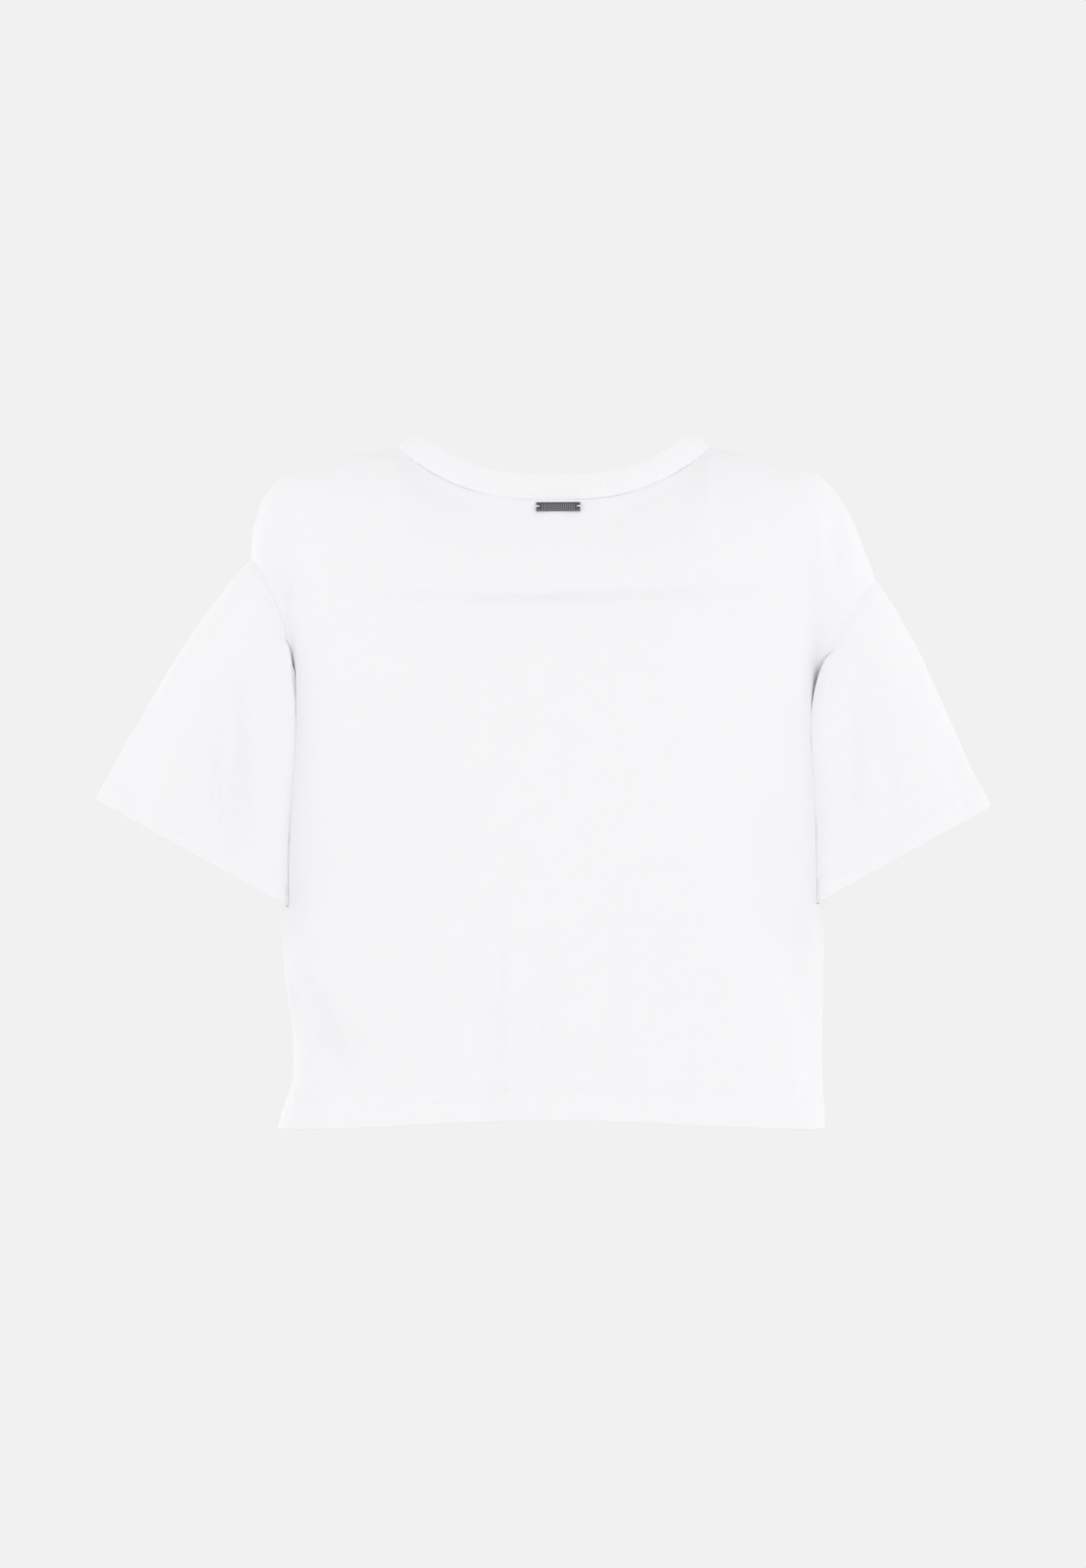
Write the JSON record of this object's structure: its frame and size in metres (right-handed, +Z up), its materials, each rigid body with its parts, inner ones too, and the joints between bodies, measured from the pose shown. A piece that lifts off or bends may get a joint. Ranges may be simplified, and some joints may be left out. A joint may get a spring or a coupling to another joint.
{
  "type": "short sleeve t-shirt",
  "caption": "Boxy cropped short sleeve t-shirt in plain white jersey, hollow as if worn, with a crew neck band and a bare metal bar label under the back of the neck.",
  "frame": {"origin": "midway between the two points where the shoulder seams meet the neck seam, where the wearer's shoulders hold the garment", "axes": "+X towards the right sleeve as seen from the back, +Y towards the front of the garment (the wearer faces +Y), +Z up; the back that the picture shows faces -Y"},
  "size_m": [0.652, 0.234, 0.5071],
  "materials": {
    "back": "white cotton jersey, fine knit, matt",
    "front": "white cotton jersey, fine knit, matt",
    "sleeve_left": "white cotton jersey, fine knit, matt",
    "sleeve_right": "white cotton jersey, fine knit, matt",
    "band": "white folded knit band, matt",
    "gunmetal": "dark gunmetal plating, satin, fine upright grooves inside a plain rim"
  },
  "bodies": {
    "root": {"back_panel": "back", "front_panel": "front", "sleeve_left": "sleeve_left", "sleeve_right": "sleeve_right", "neck_band": "band", "bar_label": "gunmetal"}
  },
  "joints": []
}
